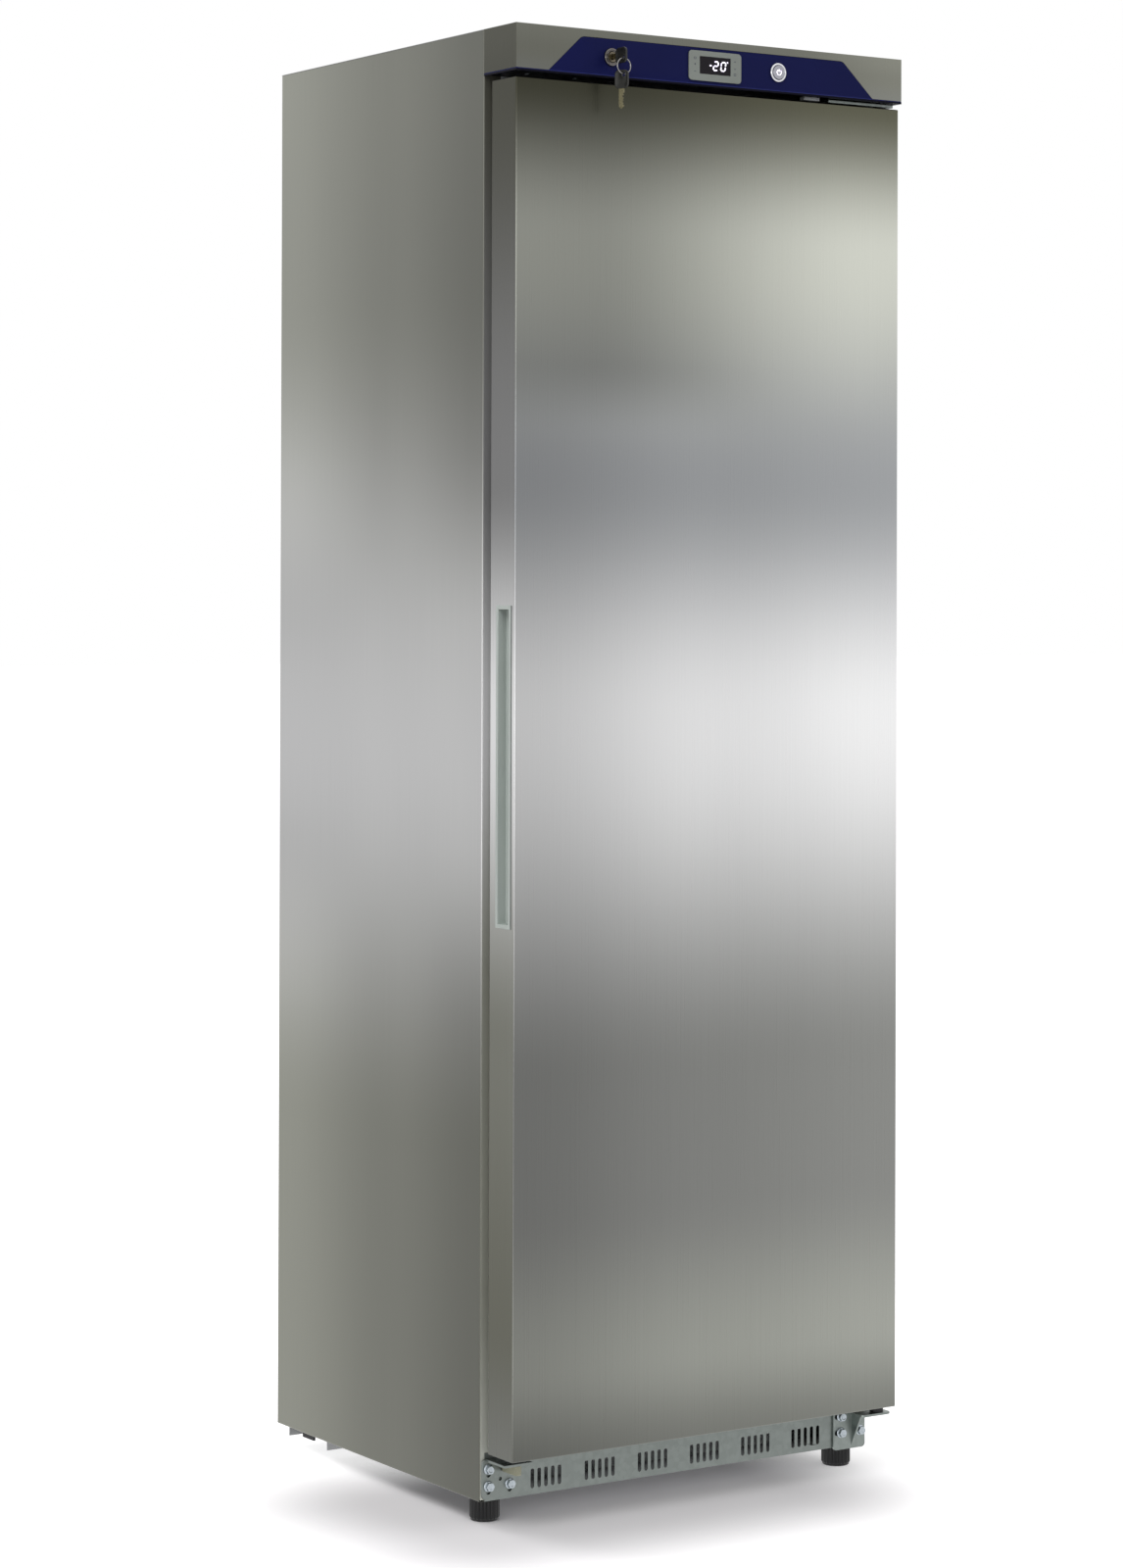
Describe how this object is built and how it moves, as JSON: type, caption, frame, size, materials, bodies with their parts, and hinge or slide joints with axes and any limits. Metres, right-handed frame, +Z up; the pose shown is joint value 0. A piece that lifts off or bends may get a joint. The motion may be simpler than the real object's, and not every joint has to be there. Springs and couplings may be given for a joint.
{
  "type": "upright freezer",
  "caption": "Free-standing upright freezer in brushed steel with a hinged door, a recessed side grip, a control fascia with a cam lock, evaporator shelves and a rear condenser.",
  "frame": {"origin": "on the floor, under the middle of the whole machine's bounding box", "axes": "+Z up, +X to the machine's right as seen from the front, -Y out of the door"},
  "size_m": [0.6, 0.6578, 1.86],
  "materials": {
    "stainless": "satin",
    "galvanised": "satin",
    "navy_plastic": "gloss",
    "grey_plastic": "satin",
    "pale_grey_plastic": "satin",
    "black_plastic": "matte",
    "screen": "gloss",
    "chrome": "polished",
    "brass": "satin",
    "cream_plastic": "matte",
    "white_plastic": "satin",
    "gasket": "matte",
    "foam": "matte",
    "black_paint": "satin",
    "copper": "satin",
    "white_paint": "gloss",
    "zinc": "satin"
  },
  "bodies": {
    "cabinet": {"side_panel_left": "stainless", "side_panel_right": "stainless", "top_panel": "stainless", "fascia_cover": "stainless", "back_panel": "galvanised", "bottom_panel": "galvanised", "base_rail": "galvanised", "compressor_tray": "galvanised", "kick_panel": "galvanised", "stop_bracket": "galvanised", "cabinet_foam": "foam", "inner_liner": "white_plastic", "evaporator_shelf_1": "white_paint", "evaporator_shelf_2": "white_paint", "evaporator_shelf_3": "white_paint", "evaporator_shelf_4": "white_paint", "evaporator_shelf_5": "white_paint", "evaporator_shelf_6": "white_paint", "roller_housing_left": "black_plastic", "roller_housing_right": "black_plastic", "relay_box": "black_plastic", "mains_inlet_gland": "black_plastic", "bolt_left_1": "zinc", "bolt_left_2": "zinc", "bolt_left_3": "zinc", "bolt_right_1": "zinc", "bolt_right_2": "zinc", "bolt_right_3": "zinc", "bottom_hinge": "zinc", "top_hinge": "zinc", "rest_block": "cream_plastic", "fascia_panel": "navy_plastic", "display_bezel": "pale_grey_plastic", "display_screen": "screen", "button_bezel": "chrome", "lock_barrel": "chrome", "compressor": "black_paint", "condenser": "black_paint", "discharge_tube": "copper", "suction_tube": "copper", "filter_drier": "copper"},
    "door": {"door_skin": "stainless", "door_foam": "foam", "door_liner": "white_plastic", "door_gasket": "gasket", "grip_moulding": "grey_plastic", "door_bush_top": "black_plastic", "door_bush_bottom": "black_plastic", "lock_keeper": "black_plastic"},
    "lock": {"lock_plug": "brass", "lock_cam": "zinc", "key_inserted": "black_plastic"},
    "key_ring": {"key_ring": "chrome"},
    "spare_key": {"key_spare": "black_plastic"},
    "button": {"power_button": "chrome"},
    "foot_left": {"foot_left": "black_plastic"},
    "foot_right": {"foot_right": "black_plastic"},
    "roller_left": {"roller_left": "black_plastic"},
    "roller_right": {"roller_right": "black_plastic"}
  },
  "joints": [
    {"name": "door_hinge", "type": "hinge", "parent": "cabinet", "child": "door", "pos_m": [0.2825, -0.26951, 0.94], "axis": [0, 0, 1], "range_deg": [0, 120]},
    {"name": "lock_turn", "type": "hinge", "parent": "cabinet", "child": "lock", "pos_m": [-0.159, -0.29451, 1.8275], "axis": [0, 1, 0], "range_deg": [0, 90]},
    {"name": "ring_swing", "type": "hinge", "parent": "lock", "child": "key_ring", "pos_m": [-0.159, -0.32251, 1.823], "axis": [-1, 0, 0], "range_deg": [-12, 60]},
    {"name": "spare_key_swing", "type": "hinge", "parent": "key_ring", "child": "spare_key", "pos_m": [-0.159, -0.32251, 1.8042], "axis": [-1, 0, 0], "range_deg": [-12, 60]},
    {"name": "button_press", "type": "slide", "parent": "cabinet", "child": "button", "axis": [0, 1, 0], "range_m": [0, 0.003], "stiffness_N_per_m": 300},
    {"name": "foot_left_screw", "type": "slide", "parent": "cabinet", "child": "foot_left", "axis": [0, 0, -1], "range_m": [0, 0.015]},
    {"name": "foot_right_screw", "type": "slide", "parent": "cabinet", "child": "foot_right", "axis": [0, 0, -1], "range_m": [0, 0.015]},
    {"name": "roller_left_spin", "type": "hinge", "parent": "cabinet", "child": "roller_left", "pos_m": [-0.235, 0.24099, 0.014], "axis": [1, 0, 0], "continuous": true},
    {"name": "roller_right_spin", "type": "hinge", "parent": "cabinet", "child": "roller_right", "pos_m": [0.235, 0.24099, 0.014], "axis": [1, 0, 0], "continuous": true}
  ]
}
